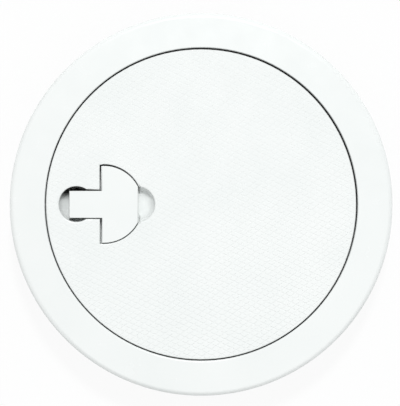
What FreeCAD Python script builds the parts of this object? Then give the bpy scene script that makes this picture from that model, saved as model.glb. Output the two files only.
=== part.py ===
import FreeCAD, Part
import math
import os
import re
import Sketcher

os.makedirs("parts", exist_ok=True)
doc = FreeCAD.newDocument("deck_plate")

# Driving sizes in millimetres. Z is up, and zero is the deck that the flange lies on.
SIZES = {
    # Modelling steps: how far a grown shape runs into its neighbour, and a cut past a face
    "overlap": 0.5,
    "run_past": 1.0,
    # Frame
    "flange_width": 26.0,
    "flange_edge_height": 5.2,
    "flange_edge_round": 4.0,
    "flange_crown": 1.3,
    "recess_radius": 114.0,
    "recess_edge_round": 0.8,
    "seat_depth": 7.0,
    "ledge_width": 8.0,
    "ledge_thickness": 4.1,
    "collar_step": 3.0,
    "collar_wall": 3.8,
    "collar_depth": 38.0,
    "gusset_count": 12,
    "gusset_thickness": 2.4,
    "gusset_drop": 9.5,
    "gusset_turn": 15.0,
    "bedding_step": 4.0,
    "flange_lip": 6.0,
    "bedding_thickness": 2.0,
    # Lid
    "lid_gap": 1.0,
    "lid_thickness": 3.0,
    "lid_edge_round": 0.5,
    "rim_wall": 2.4,
    "rim_clearance": 0.7,
    "seal_step": 0.8,
    "plug_gap": 1.0,
    "plug_wall": 2.4,
    "plug_reach": 3.1,
    "rib_count": 12,
    "rib_thickness": 2.0,
    "rib_height": 5.0,
    "rib_inner_radius": 22.0,
    "ring_rib_share": 0.5,
    # Latch pocket in the lid
    "thumb_scoop_inset": 22.0,
    "stem_overhang": 5.0,
    "dee_step": 18.0,
    "dee_radius": 28.0,
    "dee_centre_step": 2.0,
    "dee_length": 27.0,
    "finger_scoop_step": 0.5,
    "pivot_inset": 7.0,
    "pivot_drop": 3.9,
    "stem_half_width": 9.8,
    "handle_gap": 0.8,
    "handle_thickness": 4.0,
    "dee_depth": 8.8,
    "floor_wall": 1.5,
    "ramp_wall": 1.8,
    "pocket_wall": 2.0,
    "scoop_radius": 12.8,
    "scoop_lip": 1.0,
    "well_depth": 22.5,
    "well_taper": 1.5,
    "well_round": 3.0,
    "ramp_start": 5.1,
    "pin_radius": 1.25,
    "pin_clearance": 0.05,
    "ear_radius": 2.2,
    "ear_thickness": 5.0,
    "ear_clearance": 0.65,
    # Handle
    "handle_edge_round": 0.5,
    "flat_edge_round": 1.2,
    "handle_skin": 1.3,
    "handle_wall": 2.0,
    "barrel_radius": 2.8,
    "knuckle_length": 5.0,
    "lug_reach": 12.6,
    "lug_radius": 1.6,
    "lug_half_width": 4.0,
    "lug_side_gap": 1.0,
    "lug_back_gap": 0.6,
    "lug_swing": 6.8,
    # Bolt and its housing
    "bolt_clearance": 0.4,
    "bolt_height": 6.6,
    "arm_inner_place": 17.6,
    "arm_width": 6.4,
    "bolt_engagement": 3.0,
    "bridge_heel": 1.3,
    "bridge_nose": 5.9,
    "bolt_slot_back": 4.2,
    "bolt_slot_front": 2.1,
    "nose_length": 8.0,
    "nose_height": 4.4,
    "housing_inset": 14.0,
    "housing_wall": 2.4,
    "guide_wall": 1.7,
    "housing_gasket_thickness": 0.8,
    "screw_radius": 1.5,
    "screw_clearance": 0.05,
    "screw_head_radius": 3.1,
    "screw_head_height": 2.0,
    "screw_length": 9.0,
    "boss_radius": 3.6,
    "tab_radius": 4.4,
    "tab_thickness": 3.0,
    "screw_room": 0.6,
    "side_screw_step": 3.0,
    "end_screw_spread": 19.0,
    "spring_radius": 2.6,
    "spring_wire": 0.7,
    "spring_turns": 6.5,
    "spring_end_gap": 0.1,
    "spring_room": 17.0,
    "spring_peg_radius": 1.8,
    "spring_peg_length": 4.5,
    # Catch that hooks under the ledge, opposite the latch
    "catch_length": 17.0,
    "catch_rise": 0.9,
    "catch_thickness": 3.0,
    "catch_half_width": 17.0,
    "catch_edge_inset": 4.0,
    "catch_clearance": 0.4,
    "tongue_half_width": 9.0,
    "tongue_side_gap": 1.0,
    "tongue_engagement": 4.5,
    "tongue_tip_drop": 0.83,
    "catch_screw_inset": 11.0,
    "catch_screw_spread": 12.0,
}

# Heights and places that several pieces share, each worked out from the sizes above.
DERIVED = {
    "flange_radius": "recess_radius + flange_width",
    "ledge_bore": "recess_radius - ledge_width",
    "collar_radius": "recess_radius + collar_step",
    "bedding_inner_radius": "collar_radius + bedding_step",
    "bedding_outer_radius": "flange_radius - flange_lip",
    "top": "flange_edge_height + flange_crown",
    "ledge_top": "top - seat_depth",
    "ledge_under": "ledge_top - ledge_thickness",
    "collar_bore": "collar_radius - collar_wall",
    "lid_radius": "recess_radius - lid_gap",
    "lid_under": "top - lid_thickness",
    "rim_bottom": "ledge_top + rim_clearance",
    "rim_bore": "lid_radius - rim_wall",
    "plug_radius": "ledge_bore - plug_gap",
    "plug_bottom": "ledge_top - plug_reach",
    "pivot_height": "top - pivot_drop",
    "dee_floor": "top - dee_depth",
    "island_bottom": "dee_floor - floor_wall",
    "housing_top": "island_bottom - housing_gasket_thickness",
    "bolt_top": "housing_top - bolt_clearance",
    "bolt_bottom": "bolt_top - bolt_height",
    "cavity_floor": "bolt_bottom - bolt_clearance",
    "housing_bottom": "cavity_floor - housing_wall",
    "arm_outer_place": "arm_inner_place + arm_width",
    "housing_half_width": "arm_outer_place + bolt_clearance + housing_wall",
    "well_floor": "top - well_depth",
    "ear_inner_place": "stem_half_width + ear_clearance",
    "knuckle_place": "ear_inner_place + ear_thickness + ear_clearance",
    "pin_half_length": "knuckle_place + knuckle_length",
    "seal_inner_radius": "ledge_bore + seal_step",
    "thumb_scoop_place": "lid_radius - thumb_scoop_inset",
    "stem_tip_place": "thumb_scoop_place + stem_overhang",
    "dee_flat_place": "thumb_scoop_place - dee_step",
    "dee_centre_place": "dee_flat_place - dee_centre_step",
    "dee_cut_place": "dee_flat_place - dee_length",
    "finger_scoop_place": "dee_cut_place + finger_scoop_step",
    "pivot_place": "dee_flat_place - pivot_inset",
    "ring_rib_radius": "lid_radius * ring_rib_share",
    "bolt_tip_place": "ledge_bore + bolt_engagement",
    "bridge_start_place": "pivot_place + bolt_slot_back + bridge_heel",
    "bridge_end_place": "pivot_place - bolt_slot_front - bridge_nose",
    "housing_mouth_place": "lid_radius - housing_inset",
    "housing_end_place": "bridge_end_place - spring_room - housing_wall",
    "side_screw_place": "thumb_scoop_place - side_screw_step",
    "side_screw_spread": "housing_half_width + screw_head_radius + screw_room",
    "end_screw_place": "housing_end_place - screw_head_radius - screw_room",
    "catch_top": "bolt_top + catch_rise",
    "catch_inner_place": "plug_radius - catch_length",
    "catch_screw_place": "plug_radius - catch_screw_inset",
    "tongue_tip_place": "ledge_bore + tongue_engagement",
    "tongue_tip_depth": "top - catch_top + tongue_tip_drop",
    "tongue_sweep": "sqrt((lid_radius - tongue_tip_place)^2 + tongue_tip_depth^2)",
}

ALIAS = re.compile(r"[a-z][a-z_]*[a-z]")


def spelled_out(text):
    """The expression with shared values written as sizes, each under the name of its sheet."""
    while True:
        longer = ALIAS.sub(lambda m: f"({DERIVED[m[0]]})" if m[0] in DERIVED else m[0], text)
        if longer == text:
            break
        text = longer
    return ALIAS.sub(lambda m: f"Sizes.{m[0]}" if m[0] in SIZES else m[0], text)


sheet = doc.addObject("Spreadsheet::Sheet", "Sizes")
for row, (alias, number) in enumerate(SIZES.items(), start=1):
    sheet.set(f"A{row}", alias)
    sheet.set(f"B{row}", str(number))
    sheet.setAlias(f"B{row}", alias)
doc.recompute()


def value(text):
    return float(sheet.evalExpression(spelled_out(text)))


def bind(thing, field, text):
    thing.setExpression(field, spelled_out(text))


def place(thing, x="0", y="0", z="0"):
    for axis, text in (("x", x), ("y", y), ("z", z)):
        bind(thing, f"Placement.Base.{axis}", text)


def new_body(name):
    body = doc.addObject("PartDesign::Body", name)
    body.Label = name
    return body


def new_sketch(body, name, plane, level="0", across="0"):
    """A sketch on one of the body's own planes, raised by level and moved along its X by across."""
    sketch = body.newObject("Sketcher::SketchObject", name)
    origin_plane = next(f for f in body.Origin.OriginFeatures if f.Role == plane)
    sketch.AttachmentSupport = (origin_plane, [""])
    sketch.MapMode = "FlatFace"
    bind(sketch, "AttachmentOffset.Base.x", across)
    bind(sketch, "AttachmentOffset.Base.z", level)
    return sketch


def fix_point(sketch, geometry, end, x, y):
    """Dimension one point of the sketch from the sketch's origin."""
    for kind, text in (("DistanceX", x), ("DistanceY", y)):
        fix_coordinate(sketch, kind, geometry, end, text)


def fix_coordinate(sketch, kind, geometry, end, text):
    number = sketch.addConstraint(
        Sketcher.Constraint(kind, -1, 1, geometry, end, value(text))
    )
    bind(sketch, f"Constraints[{number}]", text)


def circle(sketch, x, y, radius):
    centre = FreeCAD.Vector(value(x), value(y), 0)
    ring = sketch.addGeometry(Part.Circle(centre, FreeCAD.Vector(0, 0, 1), value(radius)))
    fix_point(sketch, ring, 3, x, y)
    number = sketch.addConstraint(Sketcher.Constraint("Radius", ring, value(radius)))
    bind(sketch, f"Constraints[{number}]", radius)


def outline(sketch, corners):
    """A closed outline. A corner is (x, y), or (x, y, centre x, centre y, turn) where an arc leaves it."""
    spots = [FreeCAD.Vector(value(corner[0]), value(corner[1]), 0) for corner in corners]
    edges = []
    for index, corner in enumerate(corners):
        start = spots[index]
        end = spots[(index + 1) % len(spots)]
        if len(corner) == 2:
            edge = sketch.addGeometry(Part.LineSegment(start, end))
            edges.append((edge, 1, 2))
            continue
        centre = FreeCAD.Vector(value(corner[2]), value(corner[3]), 0)
        ring = Part.Circle(centre, FreeCAD.Vector(0, 0, 1), start.distanceToPoint(centre))
        first, last = (start, end) if corner[4] == "left" else (end, start)
        edge = sketch.addGeometry(Part.ArcOfCircle(ring, ring.parameter(first), ring.parameter(last)))
        edges.append((edge, 1, 2) if corner[4] == "left" else (edge, 2, 1))
    for index, corner in enumerate(corners):
        edge, start_end, _ = edges[index]
        before, _, before_end = edges[index - 1]
        sketch.addConstraint(Sketcher.Constraint("Coincident", before, before_end, edge, start_end))
        fix_point(sketch, edge, start_end, corner[0], corner[1])
        if len(corner) > 2:
            chord = spots[(index + 1) % len(spots)] - spots[index]
            if abs(chord.x) > abs(chord.y):
                fix_coordinate(sketch, "DistanceY", edge, 3, corner[3])
            else:
                fix_coordinate(sketch, "DistanceX", edge, 3, corner[2])


def rectangle(sketch, left, right, bottom, top):
    outline(sketch, [(left, bottom), (right, bottom), (right, top), (left, top)])


def extrude(body, kind, name, sketch, length, both_ways=False, other_way=False):
    feature = body.newObject(f"PartDesign::{kind}", name)
    feature.Profile = sketch
    bind(feature, "Length", length)
    feature.SideType = "Symmetric" if both_ways else "One side"
    feature.Reversed = other_way
    sketch.Visibility = False
    return feature


def pad(body, name, sketch, length, both_ways=False, other_way=False):
    return extrude(body, "Pad", name, sketch, length, both_ways, other_way)


def cut(body, name, sketch, length, both_ways=False, other_way=False):
    doc.recompute()
    before = body.Shape.Volume
    feature = extrude(body, "Pocket", name, sketch, length, both_ways, other_way)
    doc.recompute()
    assert body.Shape.Volume < before - 0.01, f"{name} cuts nothing"
    return feature


def turn(body, kind, name, sketch):
    feature = body.newObject(f"PartDesign::{kind}", name)
    feature.Profile = sketch
    feature.ReferenceAxis = (sketch, ["V_Axis"])
    feature.Angle = 360.0
    sketch.Visibility = False
    return feature


def polar(body, name, feature, count):
    pattern = body.newObject("PartDesign::PolarPattern", name)
    pattern.Originals = [feature]
    z_axis = next(f for f in body.Origin.OriginFeatures if f.Role == "Z_Axis")
    pattern.Axis = (z_axis, [""])
    pattern.Angle = 360.0
    bind(pattern, "Occurrences", count)
    body.Tip = pattern
    return pattern


def mirror(body, name, features):
    """Repeat features on the other side of the part's middle line, which runs along X."""
    pattern = body.newObject("PartDesign::Mirrored", name)
    pattern.Originals = features
    middle = next(f for f in body.Origin.OriginFeatures if f.Role == "XZ_Plane")
    pattern.MirrorPlane = (middle, [""])
    body.Tip = pattern
    return pattern


def soften(body, name, radius, wanted):
    """A fillet on the edges that the test picks."""
    doc.recompute()
    base = body.Tip
    names = [f"Edge{n}" for n, edge in enumerate(base.Shape.Edges, start=1) if wanted(edge)]
    assert names, f"{name} finds no edge"
    fillet = body.newObject("PartDesign::Fillet", name)
    fillet.Base = (base, names)
    bind(fillet, "Radius", radius)
    doc.recompute()
    return fillet


def at_height(edge, height):
    return all(abs(vertex.Z - height) < 0.01 for vertex in edge.Vertexes)


def half_chord(radius, offset):
    """Half the width of a circle at a distance from its middle, as an expression."""
    return f"sqrt(({radius}) * ({radius}) - ({offset}) * ({offset}))"


def make_frame():
    """Moulded flange, recess wall, ledge and collar in one piece."""
    body = new_body("frame")
    profile = new_sketch(body, "frame_profile", "XZ_Plane")
    shoulder = "flange_edge_height - flange_edge_round"
    outline(profile, [
        ("collar_bore", "0 - collar_depth"),
        ("collar_radius", "0 - collar_depth"),
        ("collar_radius", "0"),
        ("bedding_inner_radius", "0"),
        ("bedding_inner_radius", "bedding_thickness"),
        ("bedding_outer_radius", "bedding_thickness"),
        ("bedding_outer_radius", "0"),
        ("flange_radius", "0"),
        ("flange_radius", shoulder, "flange_radius - flange_edge_round", shoulder, "left"),
        ("flange_radius - flange_edge_round", "flange_edge_height"),
        ("recess_radius + recess_edge_round", "top"),
        ("recess_radius", "top - recess_edge_round"),
        ("recess_radius", "ledge_top"),
        ("ledge_bore", "ledge_top"),
        ("ledge_bore", "ledge_under"),
        ("collar_bore", "ledge_under"),
    ])
    turn(body, "Revolution", "frame_ring", profile)

    gusset = new_sketch(body, "gusset_outline", "XZ_Plane")
    outline(gusset, [
        ("ledge_bore + run_past", "ledge_under + overlap"),
        ("ledge_bore + run_past", "ledge_under - run_past"),
        ("collar_bore - overlap", "ledge_under - gusset_drop"),
        ("collar_bore + run_past", "ledge_under - gusset_drop"),
        ("collar_bore + run_past", "ledge_under + overlap"),
    ])
    gusset.AttachmentOffset.Rotation = FreeCAD.Rotation(FreeCAD.Vector(0, 1, 0), 0)
    bind(gusset, "AttachmentOffset.Rotation.Angle", "gusset_turn")
    gusset_pad = pad(body, "gusset", gusset, "gusset_thickness", both_ways=True)
    doc.recompute()
    polar(body, "gussets", gusset_pad, "gusset_count")

    sweep = "(tongue_sweep - catch_clearance)"
    near = "(lid_radius - ledge_bore + run_past)"
    far = "(lid_radius - collar_bore + run_past)"
    slot = new_sketch(body, "hook_slot_outline", "XZ_Plane")
    near_z = f"top - {half_chord(sweep, near)}"
    far_z = f"top - {half_chord(sweep, far)}"
    outline(slot, [
        (f"lid_radius - {near}", near_z, "lid_radius", "top", "left"),
        (f"lid_radius - {far}", far_z),
        (f"lid_radius - {far}", "ledge_under - run_past"),
        (f"lid_radius - {near}", "ledge_under - run_past"),
    ])
    cut(body, "hook_slot", slot, "2 * (tongue_half_width + tongue_side_gap)", both_ways=True)
    return body


def make_bedding_gasket():
    body = new_body("deck_gasket")
    ring = new_sketch(body, "deck_gasket_ring", "XY_Plane")
    circle(ring, "0", "0", "bedding_outer_radius")
    circle(ring, "0", "0", "bedding_inner_radius")
    pad(body, "deck_gasket_pad", ring, "bedding_thickness")
    return body


def make_seal():
    """Soft ring in the groove under the lid's edge, lying on the ledge."""
    body = new_body("lid_seal")
    ring = new_sketch(body, "seal_ring", "XY_Plane", level="ledge_top")
    circle(ring, "0", "0", "rim_bore")
    circle(ring, "0", "0", "seal_inner_radius")
    pad(body, "seal_pad", ring, "lid_under - ledge_top")
    return body


def dee_outline(sketch, grow):
    """Half disc with its rounded side cut straight, larger by grow all round."""
    flat = f"0 - dee_flat_place - {grow}"
    far = f"{grow} - dee_cut_place"
    radius = f"(dee_radius + {grow})"
    reach = half_chord(radius, f"dee_centre_place - dee_cut_place + {grow}")
    side = half_chord(radius, f"dee_centre_step + {grow}")
    outline(sketch, [
        (flat, f"0 - {side}", "0 - dee_centre_place", "0", "left"),
        (far, f"0 - {reach}"),
        (far, reach, "0 - dee_centre_place", "0", "left"),
        (flat, side),
    ])


def screw_bosses(body, name, spots, bottom):
    """Round bosses down from the lid's underside, each with its pilot hole."""
    for number, (x, y) in enumerate(spots, start=1):
        boss = new_sketch(body, f"{name}_{number}_outline", "XY_Plane", level=bottom)
        circle(boss, x, y, "boss_radius")
        pad(body, f"{name}_{number}", boss, f"lid_under - ({bottom}) + overlap")


def screw_holes(body, name, spots, top, depth):
    holes = new_sketch(body, f"{name}_outline", "XY_Plane", level=top)
    for x, y in spots:
        circle(holes, x, y, "screw_radius + screw_clearance")
    cut(body, name, holes, depth)


HOUSING_SCREWS = [
    ("0 - side_screw_place", "side_screw_spread"),
    ("0 - side_screw_place", "0 - side_screw_spread"),
    ("0 - end_screw_place", "end_screw_spread"),
    ("0 - end_screw_place", "0 - end_screw_spread"),
]
CATCH_SCREWS = [
    ("catch_screw_place", "catch_screw_spread"),
    ("catch_screw_place", "0 - catch_screw_spread"),
]


def make_lid():
    """Moulded lid: plate, rim, plug ring, ribs, latch pocket with its two scoops, bosses and ears."""
    body = new_body("lid")
    profile = new_sketch(body, "lid_profile", "XZ_Plane")
    outline(profile, [
        ("0", "lid_under"),
        ("plug_radius - plug_wall", "lid_under"),
        ("plug_radius - plug_wall", "plug_bottom"),
        ("plug_radius", "plug_bottom"),
        ("plug_radius", "rim_bottom"),
        ("seal_inner_radius", "rim_bottom"),
        ("seal_inner_radius", "lid_under"),
        ("rim_bore", "lid_under"),
        ("rim_bore", "rim_bottom"),
        ("lid_radius", "rim_bottom"),
        ("lid_radius", "top - lid_edge_round"),
        ("lid_radius - lid_edge_round", "top"),
        ("0", "top"),
    ])
    turn(body, "Revolution", "lid_plate", profile)

    rib = new_sketch(body, "rib_outline", "XY_Plane", level="lid_under - rib_height")
    rectangle(rib, "rib_inner_radius", "plug_radius - run_past", "0 - rib_thickness / 2", "rib_thickness / 2")
    rib_pad = pad(body, "rib", rib, "rib_height + overlap")
    doc.recompute()
    polar(body, "ribs", rib_pad, "rib_count")
    rings = new_sketch(body, "ring_rib_outline", "XY_Plane", level="lid_under - rib_height")
    for radius in ("rib_inner_radius", "ring_rib_radius"):
        circle(rings, "0", "0", f"{radius} + rib_thickness")
        circle(rings, "0", "0", radius)
    pad(body, "ring_ribs", rings, "rib_height + overlap")

    island_depth = "lid_under - island_bottom"
    island = new_sketch(body, "island_outline", "XY_Plane", level="island_bottom")
    rectangle(island, "0 - housing_mouth_place", "0 - housing_end_place",
              "0 - housing_half_width", "housing_half_width")
    pad(body, "island", island, f"{island_depth} + overlap")
    hollow = new_sketch(body, "island_hollow_outline", "XY_Plane", level="lid_under")
    rectangle(hollow, "housing_wall - housing_mouth_place", "0 - housing_end_place - housing_wall",
              "housing_wall - housing_half_width", "housing_half_width - housing_wall")
    cut(body, "island_hollow", hollow, f"{island_depth} + run_past")

    cup = new_sketch(body, "cup_outline", "XY_Plane", level="island_bottom")
    dee_outline(cup, "(handle_gap + pocket_wall)")
    pad(body, "cup", cup, f"{island_depth} + overlap")
    dish = new_sketch(body, "dish_outline", "XY_Plane", level="island_bottom")
    circle(dish, "0 - finger_scoop_place", "0", "scoop_radius + pocket_wall")
    pad(body, "dish", dish, f"{island_depth} + overlap")
    well = new_sketch(body, "well_outline", "XY_Plane", level="well_floor - pocket_wall")
    circle(well, "0 - thumb_scoop_place", "0", "scoop_radius + pocket_wall")
    pad(body, "well", well, "lid_under - well_floor + pocket_wall + overlap")
    ramp_x = "0 - pivot_place - ramp_start"
    well_x = "0 - thumb_scoop_place"
    trough = new_sketch(body, "trough_outline", "XZ_Plane")
    outline(trough, [
        (well_x, "well_floor - ramp_wall"),
        (ramp_x, "dee_floor - ramp_wall"),
        (ramp_x, "lid_under + overlap"),
        (well_x, "lid_under + overlap"),
    ])
    trough_half = "stem_half_width + handle_gap"
    pad(body, "trough", trough, f"2 * ({trough_half} + pocket_wall)", both_ways=True)
    screw_bosses(body, "housing_boss", HOUSING_SCREWS, "housing_top")
    screw_bosses(body, "catch_boss", CATCH_SCREWS, "catch_top")

    trim = new_sketch(body, "plug_trim_outline", "XY_Plane", level="rim_bottom")
    circle(trim, "0", "0", "recess_radius")
    circle(trim, "0", "0", "plug_radius")
    cut(body, "plug_trim", trim, "rim_bottom - well_floor + pocket_wall + run_past")

    pocket = new_sketch(body, "pocket_outline", "XY_Plane", level="top")
    dee_outline(pocket, "handle_gap")
    cut(body, "pocket", pocket, "dee_depth")
    ramp = new_sketch(body, "ramp_outline", "XZ_Plane")
    outline(ramp, [
        (well_x, "well_floor"),
        (ramp_x, "dee_floor"),
        (ramp_x, "top + run_past"),
        (well_x, "top + run_past"),
    ])
    cut(body, "ramp", ramp, f"2 * ({trough_half})", both_ways=True)

    narrow = "(scoop_radius - well_taper)"
    thumb = new_sketch(body, "thumb_scoop_profile", "XZ_Plane", across="0 - thumb_scoop_place")
    outline(thumb, [
        ("0", "well_floor"),
        (f"{narrow} - well_round", "well_floor",
         f"{narrow} - well_round", "well_floor + well_round", "left"),
        (narrow, "well_floor + well_round"),
        ("scoop_radius", "top - scoop_lip"),
        ("scoop_radius", "top + run_past"),
        ("0", "top + run_past"),
    ])
    turn(body, "Groove", "thumb_scoop", thumb)
    bowl = "(dee_depth - scoop_lip)"
    finger = new_sketch(body, "finger_scoop_profile", "XZ_Plane", across="0 - finger_scoop_place")
    outline(finger, [
        ("0", "dee_floor"),
        (f"scoop_radius - {bowl}", "dee_floor", f"scoop_radius - {bowl}", "top - scoop_lip", "left"),
        ("scoop_radius", "top - scoop_lip"),
        ("scoop_radius", "top + run_past"),
        ("0", "top + run_past"),
    ])
    turn(body, "Groove", "finger_scoop", finger)

    ear = new_sketch(body, "ear_outline", "XZ_Plane", level="0 - ear_inner_place", across="0 - pivot_place")
    outline(ear, [
        ("0 - ear_radius", "dee_floor - overlap"),
        ("ear_radius", "dee_floor - overlap"),
        ("ear_radius", "pivot_height", "0", "pivot_height", "left"),
        ("0 - ear_radius", "pivot_height"),
    ])
    ear_pad = pad(body, "ear", ear, "ear_thickness", other_way=True)
    doc.recompute()
    mirror(body, "ears", [ear_pad])
    bore = new_sketch(body, "pin_bore_outline", "XZ_Plane", across="0 - pivot_place")
    circle(bore, "0", "pivot_height", "pin_radius + pin_clearance")
    cut(body, "pin_bore", bore, "2 * (ear_inner_place + ear_thickness + overlap)", both_ways=True)

    lug_slot = new_sketch(body, "lug_slot_outline", "XY_Plane", level="dee_floor + overlap")
    rectangle(lug_slot, "0 - pivot_place - lug_radius - lug_back_gap", "lug_swing - pivot_place",
              "0 - lug_half_width - lug_side_gap", "lug_half_width + lug_side_gap")
    cut(body, "lug_slot", lug_slot, "floor_wall + overlap + run_past")
    screw_holes(body, "housing_pilots", HOUSING_SCREWS, "housing_top + screw_length - tab_thickness",
                "screw_length - tab_thickness + run_past")
    screw_holes(body, "catch_pilots", CATCH_SCREWS, "catch_top + screw_length - catch_thickness",
                "screw_length - catch_thickness + run_past")
    return body


def make_handle():
    """Rocker handle: half disc and stem, hollow below, with barrels for the pin and a drive lug."""
    body = new_body("handle")
    plate_bottom = "top - handle_thickness"
    dee = new_sketch(body, "dee_outline", "XY_Plane", level=plate_bottom)
    dee_outline(dee, "0.0")
    pad(body, "dee", dee, "handle_thickness")

    flat = value("0 - dee_flat_place")
    cut_side = value("0 - dee_cut_place")
    top = value("top")
    hollow = new_sketch(body, "hollow_outline", "XY_Plane", level=plate_bottom)
    inner = "(dee_radius - handle_wall)"
    reach = half_chord(inner, "dee_centre_place - dee_cut_place - handle_wall")
    side = half_chord(inner, "dee_centre_step - handle_wall")
    edge = "stem_half_width"
    outline(hollow, [
        ("handle_wall - dee_flat_place", edge),
        ("0 - dee_cut_place - handle_wall", edge),
        ("0 - dee_cut_place - handle_wall", reach, "0 - dee_centre_place", "0", "left"),
        ("handle_wall - dee_flat_place", side),
    ])
    hollow_cut = cut(body, "hollow", hollow, "handle_thickness - handle_skin", other_way=True)
    mirror(body, "hollows", [hollow_cut])

    stem = new_sketch(body, "stem_outline", "XY_Plane", level=plate_bottom)
    rectangle(stem, "0 - stem_tip_place", "handle_wall - dee_flat_place",
              "0 - stem_half_width", "stem_half_width")
    pad(body, "stem", stem, "handle_thickness")
    barrel = new_sketch(body, "barrel_outline", "XZ_Plane", across="0 - pivot_place")
    circle(barrel, "0", "pivot_height", "barrel_radius")
    pad(body, "barrel", barrel, "2 * stem_half_width", both_ways=True)
    knuckle = new_sketch(body, "knuckle_outline", "XZ_Plane", level="0 - knuckle_place",
                         across="0 - pivot_place")
    circle(knuckle, "0", "pivot_height", "barrel_radius")
    knuckle_pad = pad(body, "knuckle", knuckle, "knuckle_length", other_way=True)
    doc.recompute()
    mirror(body, "knuckles", [knuckle_pad])

    lug = new_sketch(body, "lug_outline", "XZ_Plane", across="0 - pivot_place")
    lug_end = "pivot_height - lug_reach"
    outline(lug, [
        ("0 - lug_radius", lug_end, "0", lug_end, "left"),
        ("lug_radius", lug_end),
        ("lug_radius", "pivot_height"),
        ("0 - lug_radius", "pivot_height"),
    ])
    pad(body, "lug", lug, "2 * lug_half_width", both_ways=True)
    bore = new_sketch(body, "handle_bore_outline", "XZ_Plane", across="0 - pivot_place")
    circle(bore, "0", "pivot_height", "pin_radius + pin_clearance")
    cut(body, "handle_bore", bore, "2 * pin_half_length + run_past", both_ways=True)

    stem_half = value("stem_half_width")
    soften(body, "flat_edges", "flat_edge_round",
           lambda edge: at_height(edge, top)
           and all(abs(v.X - flat) < 0.01 and abs(v.Y) > stem_half - 0.01 for v in edge.Vertexes))
    soften(body, "cut_edge", "handle_edge_round",
           lambda edge: at_height(edge, top)
           and all(abs(v.X - cut_side) < 0.01 for v in edge.Vertexes))
    return body


def make_pin():
    pin = doc.addObject("Part::Cylinder", "pivot_pin")
    pin.Label = "pivot_pin"
    pin.Placement.Rotation = FreeCAD.Rotation(FreeCAD.Vector(1, 0, 0), 90)
    bind(pin, "Radius", "pin_radius")
    bind(pin, "Height", "2 * pin_half_length")
    place(pin, x="0 - pivot_place", y="pin_half_length", z="pivot_height")
    return pin


def make_bolt():
    """Forked latch bolt: a bridge that the handle's lug draws, and two arms that reach under the ledge."""
    body = new_body("bolt")
    bridge = new_sketch(body, "bridge_outline", "XY_Plane", level="bolt_bottom")
    rectangle(bridge, "0 - bridge_start_place", "0 - bridge_end_place",
              "0 - arm_outer_place", "arm_outer_place")
    pad(body, "bridge", bridge, "bolt_height")
    arm = new_sketch(body, "arm_outline", "XY_Plane", level="bolt_bottom")
    rectangle(arm, "0 - bolt_tip_place", "run_past - bridge_start_place",
              "arm_inner_place", "arm_outer_place")
    arm_pad = pad(body, "arm", arm, "bolt_height")
    doc.recompute()
    mirror(body, "arms", [arm_pad])
    nose = new_sketch(body, "nose_outline", "XZ_Plane")
    outline(nose, [
        ("0 - bolt_tip_place - run_past", "bolt_bottom - run_past"),
        ("nose_length - bolt_tip_place", "bolt_bottom - run_past"),
        ("nose_length - bolt_tip_place", "bolt_bottom"),
        ("0 - bolt_tip_place", "bolt_bottom + nose_height"),
        ("0 - bolt_tip_place - run_past", "bolt_bottom + nose_height"),
    ])
    cut(body, "nose", nose, "2 * (arm_outer_place + run_past)", both_ways=True)
    slot = new_sketch(body, "bolt_slot_outline", "XY_Plane", level="bolt_top")
    rectangle(slot, "0 - pivot_place - bolt_slot_back", "bolt_slot_front - pivot_place",
              "0 - lug_half_width - bolt_clearance", "lug_half_width + bolt_clearance")
    cut(body, "bolt_slot", slot, "bolt_height + run_past")
    peg = new_sketch(body, "spring_peg_outline", "YZ_Plane", level="bridge_nose / 2 - pivot_place")
    circle(peg, "0", "(bolt_top + bolt_bottom) / 2", "spring_peg_radius")
    pad(body, "spring_peg", peg, "pivot_place - bridge_nose / 2 - bridge_end_place + spring_peg_length")
    return body


def make_housing():
    """Tray under the lid that guides the bolt's bridge and arms, with four screw tabs."""
    body = new_body("latch_housing")
    depth = "housing_top - housing_bottom"
    box = new_sketch(body, "housing_outline", "XY_Plane", level="housing_bottom")
    rectangle(box, "0 - housing_mouth_place", "0 - housing_end_place",
              "0 - housing_half_width", "housing_half_width")
    pad(body, "housing_box", box, depth)
    for number, (x, y) in enumerate(HOUSING_SCREWS, start=1):
        tab = new_sketch(body, f"tab_{number}_outline", "XY_Plane", level="housing_top - tab_thickness")
        circle(tab, x, y, "tab_radius")
        pad(body, f"tab_{number}", tab, "tab_thickness")
    cavity = new_sketch(body, "cavity_outline", "XY_Plane", level="housing_top")
    rectangle(cavity, "0 - housing_mouth_place - run_past", "0 - housing_end_place - housing_wall",
              "0 - arm_outer_place - bolt_clearance", "arm_outer_place + bolt_clearance")
    cut(body, "cavity", cavity, "housing_top - cavity_floor")
    guide_side = "arm_inner_place - bolt_clearance"
    guide = new_sketch(body, "guide_outline", "XY_Plane", level="cavity_floor - overlap")
    rectangle(guide, "0 - housing_mouth_place", "0 - bridge_start_place - housing_wall - bolt_clearance",
              f"{guide_side} - guide_wall", guide_side)
    guide_pad = pad(body, "guide", guide, "housing_top - cavity_floor + overlap")
    doc.recompute()
    mirror(body, "guides", [guide_pad])
    gap = new_sketch(body, "fork_gap_outline", "XY_Plane", level="housing_top")
    rectangle(gap, "0 - housing_mouth_place - run_past", "0 - bridge_start_place - housing_wall",
              f"guide_wall - ({guide_side})", f"{guide_side} - guide_wall")
    cut(body, "fork_gap", gap, f"{depth} + run_past")
    screw_holes(body, "tab_holes", HOUSING_SCREWS, "housing_top", "tab_thickness + run_past")
    return body


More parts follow.
